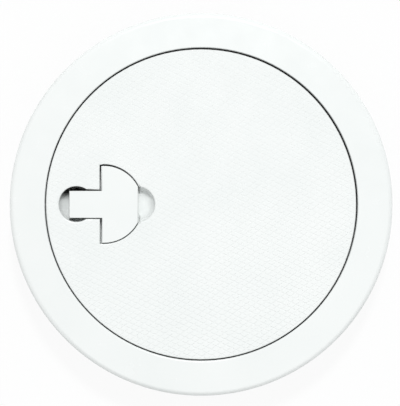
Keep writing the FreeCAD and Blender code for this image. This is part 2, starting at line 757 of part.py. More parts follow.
def make_housing_gasket():
    body = new_body("housing_gasket")
    ring = new_sketch(body, "housing_gasket_outline", "XY_Plane", level="housing_top")
    rectangle(ring, "0 - housing_mouth_place", "0 - housing_end_place",
              "0 - housing_half_width", "housing_half_width")
    rectangle(ring, "housing_wall - housing_mouth_place", "0 - housing_end_place - housing_wall",
              "housing_wall - housing_half_width", "housing_half_width - housing_wall")
    pad(body, "housing_gasket_pad", ring, "housing_gasket_thickness")
    gap = new_sketch(body, "gasket_gap_outline", "XY_Plane", level="housing_top + housing_gasket_thickness")
    guide_side = "arm_inner_place - bolt_clearance"
    rectangle(gap, "0 - housing_mouth_place - run_past", "housing_wall - housing_mouth_place + run_past",
              f"guide_wall - ({guide_side})", f"{guide_side} - guide_wall")
    cut(body, "gasket_gap", gap, "housing_gasket_thickness + run_past")
    return body


def make_catch():
    """Plate screwed under the lid opposite the latch, with a tongue curved about the tipping line."""
    body = new_body("edge_catch")
    plate = new_sketch(body, "catch_outline", "XY_Plane", level="catch_top - catch_thickness")
    rectangle(plate, "catch_inner_place", "plug_radius - catch_edge_inset",
              "0 - catch_half_width", "catch_half_width")
    pad(body, "catch_plate", plate, "catch_thickness")
    tongue = new_sketch(body, "tongue_outline", "XZ_Plane")
    root = "plug_radius - catch_edge_inset - run_past"
    bend = f"lid_radius - {half_chord('tongue_sweep', '(top - catch_top)')}"
    tip_z = f"top - {half_chord('tongue_sweep', '(lid_radius - tongue_tip_place)')}"
    outline(tongue, [
        (root, "catch_top - catch_thickness"),
        ("tongue_tip_place", "catch_top - catch_thickness"),
        ("tongue_tip_place", tip_z, "lid_radius", "top", "right"),
        (bend, "catch_top"),
        (root, "catch_top"),
    ])
    pad(body, "tongue", tongue, "2 * tongue_half_width", both_ways=True)
    screw_holes(body, "catch_holes", CATCH_SCREWS, "catch_top", "catch_thickness + run_past")
    return body


def make_screws(name, spots, seat, length):
    """Pan head screws driven up from below, as one group."""
    screws = []
    for number, (x, y) in enumerate(spots, start=1):
        head = doc.addObject("Part::Cylinder", f"{name}_{number}_head")
        bind(head, "Radius", "screw_head_radius")
        bind(head, "Height", "screw_head_height")
        place(head, x, y, f"{seat} - screw_head_height")
        shank = doc.addObject("Part::Cylinder", f"{name}_{number}_shank")
        bind(shank, "Radius", "screw_radius")
        bind(shank, "Height", f"{length} + overlap")
        place(shank, x, y, f"{seat} - overlap")
        screw = doc.addObject("Part::Fuse", f"{name}_{number}")
        screw.Base = head
        screw.Tool = shank
        screws.append(screw)
    group = doc.addObject("Part::Compound", name)
    group.Label = name
    group.Links = screws
    return group


def make_spring():
    """Compression spring round the bolt's peg, drawn as a coil of short straight stretches."""
    stretches_a_turn = 20
    start = value("spring_end_gap - bridge_end_place + spring_wire / 2")
    length = value("spring_room - 2 * spring_end_gap - spring_wire")
    middle = value("(bolt_top + bolt_bottom) / 2")
    radius = value("spring_radius")
    count = round(stretches_a_turn * value("spring_turns"))
    points = []
    for step in range(count + 1):
        angle = 2 * math.pi * step / stretches_a_turn
        along = start + length * step / count
        points.append(FreeCAD.Vector(along, radius * math.sin(angle), middle + radius * math.cos(angle)))
    line = doc.addObject("Part::Polygon", "spring_line")
    line.Nodes = points
    wire = doc.addObject("Part::RegularPolygon", "spring_wire_section")
    wire.Polygon = 6
    bind(wire, "Circumradius", "spring_wire / 2")
    wire.Placement.Base = points[0]
    wire.Placement.Rotation = FreeCAD.Rotation(FreeCAD.Vector(0, 0, 1), points[1] - points[0])
    spring = doc.addObject("Part::Sweep", "bolt_spring")
    spring.Label = "bolt_spring"
    spring.Sections = [wire]
    spring.Spine = (line, [f"Edge{number}" for number in range(1, count + 1)])
    spring.Solid = True
    spring.Transition = "Right corner"
    return spring


PIECES = [
    make_frame(),
    make_bedding_gasket(),
    make_lid(),
    make_seal(),
    make_housing(),
    make_housing_gasket(),
    make_screws("housing_screws", HOUSING_SCREWS, "housing_top - tab_thickness", "screw_length"),
    make_handle(),
    make_pin(),
    make_bolt(),
    make_spring(),
    make_catch(),
    make_screws("catch_screws", CATCH_SCREWS, "catch_top - catch_thickness", "screw_length"),
]
doc.recompute()

for thing in doc.Objects:
    assert "Invalid" not in thing.State and "Error" not in thing.State, f"{thing.Name}: {thing.State}"
for piece in PIECES:
    assert not piece.Shape.isNull() and piece.Shape.isValid(), f"{piece.Label} has no sound shape"
    piece.Shape.exportStep(f"parts/{piece.Label}.step")
    print(f"{piece.Label}: {len(piece.Shape.Solids)} solid, {piece.Shape.Volume / 1000:.1f} cm3")
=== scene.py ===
import bmesh
import bpy
import math
from mathutils import Matrix, Vector


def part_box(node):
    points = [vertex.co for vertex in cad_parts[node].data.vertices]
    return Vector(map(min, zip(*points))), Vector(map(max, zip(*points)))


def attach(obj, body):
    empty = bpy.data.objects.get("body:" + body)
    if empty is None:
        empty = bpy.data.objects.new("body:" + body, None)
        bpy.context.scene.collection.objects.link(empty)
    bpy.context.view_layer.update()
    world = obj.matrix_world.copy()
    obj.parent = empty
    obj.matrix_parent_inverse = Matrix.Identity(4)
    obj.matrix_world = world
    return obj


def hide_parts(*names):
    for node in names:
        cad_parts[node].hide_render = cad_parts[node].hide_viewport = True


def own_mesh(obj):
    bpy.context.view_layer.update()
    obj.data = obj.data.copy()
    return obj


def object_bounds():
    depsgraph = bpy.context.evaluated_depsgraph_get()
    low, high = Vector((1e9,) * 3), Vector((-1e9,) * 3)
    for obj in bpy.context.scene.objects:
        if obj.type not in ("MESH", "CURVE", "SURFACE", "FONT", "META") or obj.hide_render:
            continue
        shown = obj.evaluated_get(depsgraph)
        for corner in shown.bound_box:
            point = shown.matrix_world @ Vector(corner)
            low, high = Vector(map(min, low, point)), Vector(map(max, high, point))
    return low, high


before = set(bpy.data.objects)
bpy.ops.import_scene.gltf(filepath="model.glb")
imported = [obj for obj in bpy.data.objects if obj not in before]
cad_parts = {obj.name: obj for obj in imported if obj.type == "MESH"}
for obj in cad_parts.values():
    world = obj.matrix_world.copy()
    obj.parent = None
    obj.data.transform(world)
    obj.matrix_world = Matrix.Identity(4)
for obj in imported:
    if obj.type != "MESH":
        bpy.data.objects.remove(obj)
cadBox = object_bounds()
mm = 0.001                      # of a metre, which is the unit of whatever names no mm
handleLow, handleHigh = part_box("handle")
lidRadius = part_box("lid")[1].x
lidTop = handleHigh.z
weld = 0.001 * mm               # corners closer than this are one
sharpAngle = math.radians(32)   # edges that turn by more stay crisp

# What the picture shows and how it is lit
studio = {
    "pixelsAcross": 400,
    "pixelSize": 0.729 * mm,           # what a pixel spans at the lid
    "cameraHeight": 1.5,
    "aim": (-0.8 * mm, 1.0 * mm),      # the lid lies a little right of the middle and below it
    "floorReach": 3.0,
    "floorColour": "#F0F2F2",
    "floorGlow": 0.92,                 # share of the floor that shows as plain white
    "keyPower": 211.0,
    "keySize": 0.9,
    "keyPlace": (0.25, 3.10, 5.25),
    "fillPower": 5.6,
    "fillSize": 2.0,
    "fillPlace": (0.2, -0.9, 1.8),
    "skyStrength": 0.45,
}


def hexToLinear(text):
    # sRGB hex to the linear colour that shaders take
    parts = [int(text[i:i + 2], 16) / 255 for i in (1, 3, 5)]
    return tuple(c / 12.92 if c <= 0.04045 else ((c + 0.055) / 1.055) ** 2.4 for c in parts) + (1.0,)


def addNode(tree, kind, settings=None, links=None):
    # settings are sockets by name or number, or else the node's own fields
    node = tree.nodes.new(kind)
    for key, setting in (settings or {}).items():
        if isinstance(key, int) or key in node.inputs:
            node.inputs[key].default_value = setting
        else:
            setattr(node, key, setting)
    for key, source in (links or {}).items():
        tree.links.new(source, node.inputs[key])
    return node


def newMaterial(name):
    made = bpy.data.materials.new(name)
    made.use_nodes = True
    tree = made.node_tree
    tree.nodes.clear()
    place = addNode(tree, "ShaderNodeTexCoord").outputs["Object"]
    return made, tree, place


def finishMaterial(tree, shader, bump=None):
    if bump:
        tree.links.new(bump, shader.inputs["Normal"])
    addNode(tree, "ShaderNodeOutputMaterial", links={"Surface": shader.outputs["BSDF"]})


noiseSpan = (0.3, 0.7)   # where nearly all of a noise texture's values lie


def mottle(tree, place, size, darker, lighter):
    # cloudy drift between two tones, with patches of about size metres
    noise = addNode(tree, "ShaderNodeTexNoise", {"Scale": 1 / size, "Detail": 3.0, "Roughness": 0.55},
                    {"Vector": place})
    ramp = addNode(tree, "ShaderNodeValToRGB", links={"Fac": noise.outputs["Fac"]})
    for stop, position, colour in zip(ramp.color_ramp.elements, noiseSpan, (darker, lighter)):
        stop.position = position
        stop.color = hexToLinear(colour)
    return ramp.outputs["Color"]


def sheenDrift(tree, place, size, low, high):
    # roughness that wanders between two values
    noise = addNode(tree, "ShaderNodeTexNoise", {"Scale": 1 / size, "Detail": 4.0}, {"Vector": place})
    spread = addNode(tree, "ShaderNodeMapRange", {
        "From Min": noiseSpan[0], "From Max": noiseSpan[1], "To Min": low, "To Max": high,
    }, {"Value": noise.outputs["Fac"]})
    return spread.outputs["Result"]


# Injection moulded ABS, white with light stabiliser: bright, faintly cool, satin gloss off a
# polished tool, with the soft dimples of a moulded skin instead of a mirror, and near-black
# painted shade in narrow gaps and on faces turned away from the key lamp
whiteAbs = {
    "darker": "#F1F5F4",
    "lighter": "#F5F8F7",
    # painted shade: near black, put where light barely reaches, in narrow gaps and on faces turned from the
    # key lamp
    "paintedShade": "#101111",
    "paintedShadeReach": 3.2 * mm,   # how narrow a gap must be to take painted shade
    "patch": 60 * mm,
    "sheenPatch": 15 * mm,
    "roughness": (0.20, 0.28),
    "ior": 1.54,
    "dimple": 1.1 * mm,      # spacing of the orange peel that cooling leaves
    "dimpleDepth": 0.004 * mm,
    "grain": 0.25 * mm,      # spark-eroded grain of the tool, drawn coarser than its 0.05 mm to show
    "grainDepth": 0.0012 * mm,
}


# Where painted shade falls on each moulding: near black in narrow gaps, heavier towards one side of the
# plate, and on faces turned away from the key lamp
# share: the open sky at which a surface is all painted shade, and at which it shows its own colour
# lost: the sky that the lighter and the darker side lose to painted shade
# side: which side is the darker, in degrees round from the plate's right
# reach: how far out on that side the loss starts and is at its full, from the plate's middle
# lampSide: the sky that faces turned away from the key lamp lose to painted shade, and that
# faces turned towards it gain
paintedShade = {
    "frame": {
        "share": (0.15, 0.60),
        "lost": (-0.12, 0.38),
        "side": 40.0,
        "reach": (-lidRadius, lidRadius),
        "lampSide": 0.20,
    },
    "lid": {
        "share": (0.10, 0.50),
        "lost": (-0.90, 0.28),
        "side": 135.0,
        "reach": (30 * mm, 68 * mm),
        "lampSide": 0.95,
    },
    "tread": {
        "share": (0.15, 0.60),
        "lost": (0.0, 0.40),
        "side": -75.0,
        "reach": (-lidRadius, lidRadius),
        "lampSide": 0.20,
    },
}


def unshadedShare(tree, place, shadeSettings):
    # how much of a surface keeps its own colour rather than painted shade, from 0 to 1: the sky it sees,
    # less the painted shade of its side of the plate and of facing away from the key lamp
    # ambient occlusion, plus the normal's turn towards the key lamp, sets painted shade in gaps and on
    # faces turned away
    sky = addNode(tree, "ShaderNodeAmbientOcclusion", {"Distance": whiteAbs["paintedShadeReach"], "samples": 8})
    facing = addNode(tree, "ShaderNodeTexCoord").outputs["Normal"]
    lampSide = addNode(tree, "ShaderNodeVectorMath", {"operation": "DOT_PRODUCT", 1: (0, shadeSettings["lampSide"], 0)},
                  {0: facing})
    skyAndLampSide = addNode(tree, "ShaderNodeMath", {"operation": "ADD"},
                     {0: sky.outputs["AO"], 1: lampSide.outputs["Value"]})
    # painted shade that grows towards one side of the plate
    side = math.radians(shadeSettings["side"])
    outward = (math.cos(side), math.sin(side), 0)
    drift = addNode(tree, "ShaderNodeVectorMath", {"operation": "DOT_PRODUCT", 1: outward}, {0: place})
    lost = addNode(tree, "ShaderNodeMapRange", {
        "From Min": shadeSettings["reach"][0],
        "From Max": shadeSettings["reach"][1],
        "To Min": shadeSettings["lost"][0],
        "To Max": shadeSettings["lost"][1],
    }, {"Value": drift.outputs["Value"]})
    seen = addNode(tree, "ShaderNodeMath", {"operation": "SUBTRACT"},
                   {0: skyAndLampSide.outputs[0], 1: lost.outputs["Result"]})
    unshaded = addNode(tree, "ShaderNodeMapRange", {
        "From Min": shadeSettings["share"][0],
        "From Max": shadeSettings["share"][1],
    }, {"Value": seen.outputs[0]})
    return unshaded.outputs["Result"]


def makeAbs(name, shadeSettings):
    made, tree, place = newMaterial(name)
    grain = addNode(tree, "ShaderNodeTexNoise", {"Scale": 1 / whiteAbs["grain"], "Detail": 2.0},
                    {"Vector": place})
    dimples = addNode(tree, "ShaderNodeTexNoise", {"Scale": 1 / whiteAbs["dimple"], "Detail": 1.0},
                      {"Vector": place})
    fine = addNode(tree, "ShaderNodeBump", {"Strength": 1.0, "Distance": whiteAbs["grainDepth"]},
                   {"Height": grain.outputs["Fac"]})
    skin = addNode(tree, "ShaderNodeBump", {"Strength": 1.0, "Distance": whiteAbs["dimpleDepth"]},
                   {"Height": dimples.outputs["Fac"], "Normal": fine.outputs["Normal"]})
    # the mix takes its share at socket 0 and its two colours at 6 and 7: the painted shade and the
    # moulding's own tone
    coloured = addNode(tree, "ShaderNodeMix", {"data_type": "RGBA", 6: hexToLinear(whiteAbs["paintedShade"])}, {
        0: unshadedShare(tree, place, shadeSettings),
        7: mottle(tree, place, whiteAbs["patch"], whiteAbs["darker"], whiteAbs["lighter"]),
    })
    shader = addNode(tree, "ShaderNodeBsdfPrincipled", {"IOR": whiteAbs["ior"]}, {
        "Base Color": coloured.outputs[2],
        "Roughness": sheenDrift(tree, place, whiteAbs["sheenPatch"], *whiteAbs["roughness"]),
    })
    finishMaterial(tree, shader, skin.outputs["Normal"])
    return made


# Moulded acetal, undyed: waxy off-white, duller than the ABS, and slightly see-through at edges
acetal = {
    "darker": "#E4E3DC",
    "lighter": "#ECEBE5",
    "patch": 14 * mm,
    "roughness": (0.42, 0.55),
    "ior": 1.48,
    "glow": 0.15,
    "glowReach": 1.2 * mm,
    "grain": 0.5 * mm,
    "grainDepth": 0.004 * mm,
}


def makeAcetal():
    made, tree, place = newMaterial("natural acetal, moulded")
    grain = addNode(tree, "ShaderNodeTexNoise", {"Scale": 1 / acetal["grain"], "Detail": 3.0},
                    {"Vector": place})
    skin = addNode(tree, "ShaderNodeBump", {"Strength": 1.0, "Distance": acetal["grainDepth"]},
                   {"Height": grain.outputs["Fac"]})
    shader = addNode(tree, "ShaderNodeBsdfPrincipled", {
        "IOR": acetal["ior"],
        "Subsurface Weight": acetal["glow"],
        "Subsurface Scale": acetal["glowReach"],
    }, {
        "Base Color": mottle(tree, place, acetal["patch"], acetal["darker"], acetal["lighter"]),
        "Roughness": sheenDrift(tree, place, acetal["patch"], *acetal["roughness"]),
    })
    finishMaterial(tree, shader, skin.outputs["Normal"])
    return made


# EPDM rubber, moulded and cut: near-black, dull, with a dusty bloom and a fine pebbled skin
rubber = {
    "darker": "#1B1C1D",
    "lighter": "#2A2B2C",
    "patch": 9 * mm,
    "roughness": (0.62, 0.78),
    "ior": 1.52,
    "pebble": 0.4 * mm,
    "pebbleDepth": 0.03 * mm,
}


def makeRubber():
    made, tree, place = newMaterial("black EPDM rubber, moulded")
    pebbles = addNode(tree, "ShaderNodeTexVoronoi", {"Scale": 1 / rubber["pebble"]}, {"Vector": place})
    skin = addNode(tree, "ShaderNodeBump", {"Strength": 0.6, "Distance": rubber["pebbleDepth"]},
                   {"Height": pebbles.outputs["Distance"]})
    shader = addNode(tree, "ShaderNodeBsdfPrincipled", {"IOR": rubber["ior"]}, {
        "Base Color": mottle(tree, place, rubber["patch"], rubber["darker"], rubber["lighter"]),
        "Roughness": sheenDrift(tree, place, rubber["patch"], *rubber["roughness"]),
    })
    finishMaterial(tree, shader, skin.outputs["Normal"])
    return made


# A4 stainless steel, drawn and turned: mid grey metal, brighter along fine draw lines
steel = {
    "darker": "#A9A9A7",
    "lighter": "#C3C3C1",
    "patch": 3 * mm,
    "roughness": (0.22, 0.36),
    "line": 0.08 * mm,
    "lineDepth": 0.004 * mm,
}


def makeSteel():
    made, tree, place = newMaterial("A4 stainless steel, drawn")
    lines = addNode(tree, "ShaderNodeTexNoise", {"Scale": 1 / steel["line"], "Detail": 2.0},
                    {"Vector": place})
    skin = addNode(tree, "ShaderNodeBump", {"Strength": 0.8, "Distance": steel["lineDepth"]},
                   {"Height": lines.outputs["Fac"]})
    shader = addNode(tree, "ShaderNodeBsdfPrincipled", {"Metallic": 1.0}, {
        "Base Color": mottle(tree, place, steel["patch"], steel["darker"], steel["lighter"]),
        "Roughness": sheenDrift(tree, place, steel["patch"], *steel["roughness"]),
    })
    finishMaterial(tree, shader, skin.outputs["Normal"])
    return made


# three copies of the one white ABS, which differ only in where their painted shade falls
materials = {
    "gloss": makeAbs("white ABS, polished moulding, with painted shade", paintedShade["frame"]),
    "lidShadedAbs": makeAbs("white ABS, polished lid moulding, with painted shade", paintedShade["lid"]),
    "treadShadedAbs": makeAbs("white ABS, tread, with painted shade", paintedShade["tread"]),
    "acetal": makeAcetal(),
    "rubber": makeRubber(),
    "steel": makeSteel(),
}
finishes = {
    "gloss": ["frame", "latch_housing"],
    "lidShadedAbs": ["lid", "handle"],
    "acetal": ["bolt", "edge_catch"],
    "rubber": ["deck_gasket", "lid_seal", "housing_gasket"],
    "steel": ["pivot_pin", "bolt_spring", "housing_screws", "catch_screws"],
}
for finish, nodes in finishes.items():
    for node in nodes:
        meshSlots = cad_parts[node].data.materials
        meshSlots.clear()
        meshSlots.append(materials[finish])
print("finishes on the carried-over pieces")


# The latch from above, with the sizes that its solids have
latch = {
    "pocketGap": 0.8 * mm,        # between the handle and its pocket
    "stemReach": 23.0 * mm,       # from the stem's tip to the flat of the half disc
    "stemHalfWidth": 9.8 * mm,
    "deeCentreStep": 2.0 * mm,    # from that flat to the centre of the half disc's arc
    "scoopRadius": 12.8 * mm,
    "thumbScoopStep": 5.0 * mm,   # from the stem's tip to the middle of the thumb scoop
    "fingerScoopStep": 0.5 * mm,  # from the half disc's cut side back to the middle of the finger scoop
}
# Non-slip tread: low diamonds between two families of grooves, over the whole lid
tread = {
    "pitch": 3.72 * mm,
    "turns": (37.0, -25.0),   # degrees from the latch line, of the two families of grooves
    "groove": 0.9 * mm,
    "flank": 0.09 * mm,
    "height": 0.08 * mm,
    "rimMargin": 1.2 * mm,
    "latchMargin": 1.0 * mm,
    "cutterHeight": 4.0 * mm,
    "cutterSteps": 144,
    "sheetSteps": 180,
    "wholeShare": 0.999,      # of a diamond's area, below which it is a cut one and goes
}


def meshFrom(name, bm):
    mesh = bpy.data.meshes.new(name)
    bm.to_mesh(mesh)
    bm.free()
    return mesh


def newPiece(name, bm, finish, body, standsFor=None):
    mesh = meshFrom(name, bm)
    mesh.materials.append(materials[finish])
    mesh.shade_smooth()
    mesh.set_sharp_from_angle(angle=sharpAngle)
    piece = bpy.data.objects.new(name, mesh)
    bpy.context.collection.objects.link(piece)
    evened = piece.modifiers.new("even normals", "WEIGHTED_NORMAL")   # flats stay flat beside their radii
    evened.keep_sharp = True
    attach(piece, body)
    if standsFor:
        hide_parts(standsFor)
    return piece


def carve(piece, cutters, operation):
    # cut or join the piece with each closed shape in turn, and drop the shapes
    for bm in cutters:
        cutter = bpy.data.objects.new("cutter", meshFrom("cutter", bm))
        bpy.context.collection.objects.link(cutter)
        modifier = piece.modifiers.new("carve", "BOOLEAN")
        modifier.operation = operation
        modifier.solver = "MANIFOLD"
        modifier.object = cutter
        for other in piece.modifiers:
            other.show_viewport = other == modifier
        shaped = bpy.data.meshes.new_from_object(piece.evaluated_get(bpy.context.evaluated_depsgraph_get()))
        piece.modifiers.remove(modifier)
        for other in piece.modifiers:
            other.show_viewport = True
        piece.data = shaped
        bpy.data.objects.remove(cutter)


def drum(x, radius):
    # upright disc that reaches well above and below the lid's top
    bm = bmesh.new()
    bmesh.ops.create_cone(bm, cap_ends=True, segments=tread["cutterSteps"], radius1=radius, radius2=radius,
                          depth=tread["cutterHeight"])
    bmesh.ops.translate(bm, verts=bm.verts, vec=(x, 0, lidTop))
    return bm


def block(left, right, halfWidth):
    bm = bmesh.new()
    bmesh.ops.create_cube(bm, size=1.0)
    bmesh.ops.scale(bm, verts=bm.verts, vec=(right - left, 2 * halfWidth, tread["cutterHeight"]))
    bmesh.ops.translate(bm, verts=bm.verts, vec=((left + right) / 2, 0, lidTop))
    return bm


def trimSide(bm, x, keepSign):
    # slice a closed shape across, keep one side and close it again
    everything = bm.verts[:] + bm.edges[:] + bm.faces[:]
    cutting = bmesh.ops.bisect_plane(bm, geom=everything, plane_co=(x, 0, 0), plane_no=(keepSign, 0, 0),
                                     clear_inner=True)
    rim = [part for part in cutting["geom_cut"] if isinstance(part, bmesh.types.BMEdge)]
    bmesh.ops.contextual_create(bm, geom=rim)
    bmesh.ops.recalc_face_normals(bm, faces=bm.faces)


def latchShapes(margin):
    # the outline of the latch pocket and its scoops, grown by a margin all round
    flatX = handleLow.x + latch["stemReach"]
    dee = drum(flatX + latch["deeCentreStep"], handleHigh.y + latch["pocketGap"] + margin)
    trimSide(dee, flatX - latch["pocketGap"] - margin, 1)
    trimSide(dee, handleHigh.x + latch["pocketGap"] + margin, -1)
    thumbX = handleLow.x + latch["thumbScoopStep"]
    return [
        dee,
        block(thumbX, flatX + margin, latch["stemHalfWidth"] + latch["pocketGap"] + margin),
        drum(thumbX, latch["scoopRadius"] + margin),
        drum(handleHigh.x - latch["fingerScoopStep"], latch["scoopRadius"] + margin),
    ]


def treadDiamonds():
    # a disc scored both ways, whose whole cells draw in by half a groove, rise and close below
    reach = lidRadius + 2 * tread["pitch"]
    bm = bmesh.new()
    bmesh.ops.create_circle(bm, cap_ends=True, radius=reach, segments=tread["sheetSteps"])
    for turn in tread["turns"]:
        across = Vector((-math.sin(math.radians(turn)), math.cos(math.radians(turn)), 0))
        count = int(reach / tread["pitch"])
        for step in range(-count, count + 1):
            bmesh.ops.bisect_plane(bm, geom=bm.verts[:] + bm.edges[:] + bm.faces[:],
                                   plane_co=across * (step * tread["pitch"]), plane_no=across)
    first, second = (math.radians(turn) for turn in tread["turns"])
    whole = tread["pitch"] ** 2 / math.sin(first - second)
    ragged = [face for face in bm.faces if face.calc_area() < tread["wholeShare"] * whole]
    bmesh.ops.delete(bm, geom=ragged, context="FACES")
    diamonds = bm.faces[:]
    bmesh.ops.inset_individual(bm, faces=diamonds, thickness=tread["groove"] / 2, use_even_offset=True)
    kept = set(diamonds)
    grooves = [face for face in bm.faces if face not in kept]
    bmesh.ops.delete(bm, geom=grooves, context="FACES")
    for face in bm.faces:
        if face.normal.z < 0:
            face.normal_flip()
    diamonds = bm.faces[:]
    undersides = bmesh.ops.duplicate(bm, geom=diamonds)["geom"]
    turned = [part for part in undersides if isinstance(part, bmesh.types.BMFace)]
    bmesh.ops.reverse_faces(bm, faces=turned)
    bmesh.ops.inset_individual(bm, faces=diamonds, thickness=tread["flank"], depth=tread["height"],
                               use_even_offset=True)
    bmesh.ops.remove_doubles(bm, verts=bm.verts, dist=weld)
    bmesh.ops.translate(bm, verts=bm.verts, vec=(0, 0, lidTop))
    return bm


treadPiece = newPiece("lid_tread", treadDiamonds(), "treadShadedAbs", "lid")
carve(treadPiece, [drum(0, lidRadius - tread["rimMargin"])], "INTERSECT")
carve(treadPiece, latchShapes(tread["latchMargin"]), "DIFFERENCE")
print("tread", len(treadPiece.data.polygons), "faces")


# Radii that the tool leaves on the mouldings, and which edges get them
moulded = {
    "weld": 0.002 * mm,           # for the corners of the carried-over shapes
    "flat": math.radians(1.0),    # facets that turn by less are one face
    "edge": math.radians(30),     # edges that turn by less stay as they are
    "steps": 3,
    "recessRadius": 0.35 * mm,
    "recessDepth": 1.0 * mm,      # its mouth lies within this of the lid's top
    "recessWidth": 2.5 * mm,      # and within this of the lid's edge
    "handleRadius": 0.25 * mm,
    "pocketRadius": 0.95 * mm,    # just under the finger scoop's lip
    "pocketSteps": 4,
    "rimDepth": 0.01 * mm,        # corners this near to the top are on it
}
# Small mouldings: each edge longer than so many of its radii is rounded
smallMouldings = [
    {"node": "latch_housing", "piece": "housing_moulding", "finish": "gloss", "body": "lid",
     "radius": 0.6 * mm, "longerThan": 8},
    {"node": "bolt", "piece": "bolt_moulding", "finish": "acetal", "body": "bolt",
     "radius": 0.5 * mm, "longerThan": 4},
    {"node": "edge_catch", "piece": "catch_moulding", "finish": "acetal", "body": "lid",
     "radius": 0.3 * mm, "longerThan": 4},
]


def mergedCopy(node):
    # the node's own shape as clean faces, ready to be worked on
    bm = bmesh.new()
    bm.from_mesh(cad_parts[node].data)
    bmesh.ops.remove_doubles(bm, verts=bm.verts, dist=moulded["weld"])
    bmesh.ops.dissolve_limit(bm, angle_limit=moulded["flat"], verts=bm.verts, edges=bm.edges)
    return bm


def roundEdges(bm, radius, segments, wanted):
    # a moulded radius on the sharp edges that the test picks
    picked = []
    for edge in bm.edges:
        if len(edge.link_faces) == 2 and edge.calc_face_angle() > moulded["edge"] and wanted(edge):
            picked.append(edge)
    bmesh.ops.bevel(bm, geom=picked, offset=radius, offset_type="OFFSET", segments=segments, profile=0.5,
                    affect="EDGES", clamp_overlap=False, material=-1)


def roundedFrame():
    # the chamfered mouth of the recess and the crown of the flange, run into each other
    def atMouth(vert):
        return (vert.co.z > lidTop - moulded["recessDepth"]
                and abs(vert.co.xy.length - lidRadius) < moulded["recessWidth"])

    bm = mergedCopy("frame")
    roundEdges(bm, moulded["recessRadius"], moulded["steps"], lambda edge: all(map(atMouth, edge.verts)))
    newPiece("frame_moulding", bm, "gloss", "frame", "frame")


def onTop(vert):
    return vert.co.z > lidTop - moulded["rimDepth"]


def roundedHandle():
    bm = mergedCopy("handle")
    roundEdges(bm, moulded["handleRadius"], moulded["steps"], lambda edge: all(map(onTop, edge.verts)))
    newPiece("handle_moulding", bm, "lidShadedAbs", "handle", "handle")


# Bowl that the thumb well's outer end runs out in, beyond the stem's swing
bowl = {
    "rim": 1.5 * mm,       # below the lid's top, where the bowl is as wide as the scoop
    "depth": 10.5 * mm,    # from there to its lowest point
    "start": 3.0 * mm,     # below the lid's top, inside the well's wall
    "bottom": 21.5 * mm,   # below the lid's top, inside the well
    "tipGap": 0.5 * mm,
    "overlap": 0.3 * mm,   # how far it runs into the well's wall
    "steps": 96,
    "rings": 64,
}


def bowlShapes():
    # a drum inside the well, cut off beside the stem's tip, and the egg that hollows it
    across = latch["scoopRadius"] + bowl["overlap"]
    centreX = handleLow.x + latch["thumbScoopStep"]
    bm = bmesh.new()
    bmesh.ops.create_cone(bm, cap_ends=True, segments=bowl["steps"], radius1=across, radius2=across,
                          depth=bowl["bottom"] - bowl["start"])
    middle = lidTop - (bowl["bottom"] + bowl["start"]) / 2
    bmesh.ops.translate(bm, verts=bm.verts, vec=(centreX, 0, middle))
    trimSide(bm, handleLow.x - bowl["tipGap"], -1)
    egg = bmesh.new()
    bmesh.ops.create_uvsphere(egg, u_segments=bowl["steps"], v_segments=bowl["rings"],
                              radius=latch["scoopRadius"])
    bmesh.ops.scale(egg, verts=egg.verts, vec=(1, 1, bowl["depth"] / latch["scoopRadius"]))
    bmesh.ops.translate(egg, verts=egg.verts, vec=(centreX, 0, lidTop - bowl["rim"]))
    return bm, egg


def roundedLid():
    # the pocket's rim, which is all that lies on top within its reach, gets its radius, and the
    # bowl is made one with the lid
    pocketReach = latch["scoopRadius"] - latch["thumbScoopStep"] - handleLow.x + moulded["pocketRadius"]
    bm = mergedCopy("lid")
    roundEdges(bm, moulded["pocketRadius"], moulded["pocketSteps"], lambda edge: all(
        onTop(vert) and vert.co.xy.length < pocketReach for vert in edge.verts))
    piece = newPiece("lid_moulding", bm, "lidShadedAbs", "lid", "lid")
    drumShape, egg = bowlShapes()
    bowlPiece = newPiece("bowl", drumShape, "lidShadedAbs", "lid")
    carve(bowlPiece, [egg], "DIFFERENCE")
    added = bmesh.new()
    added.from_mesh(bowlPiece.data)
    bpy.data.objects.remove(bowlPiece)
    carve(piece, [added], "UNION")
    piece.data.set_sharp_from_angle(angle=sharpAngle)


def roundedSmallMoulding(part):
    bm = mergedCopy(part["node"])
    shortest = part["longerThan"] * part["radius"]
    roundEdges(bm, part["radius"], moulded["steps"], lambda edge: edge.calc_length() > shortest)
    newPiece(part["piece"], bm, part["finish"], part["body"], part["node"])


roundedFrame()
roundedHandle()
roundedLid()
for part in smallMouldings:
    roundedSmallMoulding(part)
print("mouldings rounded")


# Rubber rings, cut and moulded a little round at their edges
rings = {
    "deckWidth": 13.0 * mm,
    "deckRound": 0.5 * mm,
    "sealWidth": 3.8 * mm,
    "sealRound": 1.3 * mm,
    "roundSteps": 4,
    "steps": 180,
}


def rubberRing(name, node, width, edgeRound, body):
    # a flat section with rounded corners, stood upright and spun about the plate's axis
    low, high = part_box(node)
    bm = bmesh.new()
    bmesh.ops.create_grid(bm, x_segments=1, y_segments=1, size=0.5)
    bmesh.ops.scale(bm, verts=bm.verts, vec=(width, high.z - low.z, 1))
    bmesh.ops.bevel(bm, geom=bm.verts[:], offset=edgeRound, segments=rings["roundSteps"], profile=0.5,
                    affect="VERTICES", material=-1)
    bmesh.ops.rotate(bm, verts=bm.verts, matrix=Matrix.Rotation(math.radians(90), 3, "X"))
    bmesh.ops.translate(bm, verts=bm.verts, vec=(high.x - width / 2, 0, (low.z + high.z) / 2))
    bmesh.ops.delete(bm, geom=bm.faces[:], context="FACES_ONLY")
    bmesh.ops.spin(bm, geom=bm.verts[:] + bm.edges[:], axis=(0, 0, 1), angle=math.tau, steps=rings["steps"],
                   use_merge=True)
    bmesh.ops.recalc_face_normals(bm, faces=bm.faces)
    newPiece(name, bm, "rubber", body, node)


rubberRing("deck_gasket_ring", "deck_gasket", rings["deckWidth"], rings["deckRound"], "frame")
rubberRing("lid_seal_ring", "lid_seal", rings["sealWidth"], rings["sealRound"], "lid")
newPiece("housing_gasket_sheet", mergedCopy("housing_gasket"), "rubber", "lid", "housing_gasket")
print("gaskets")


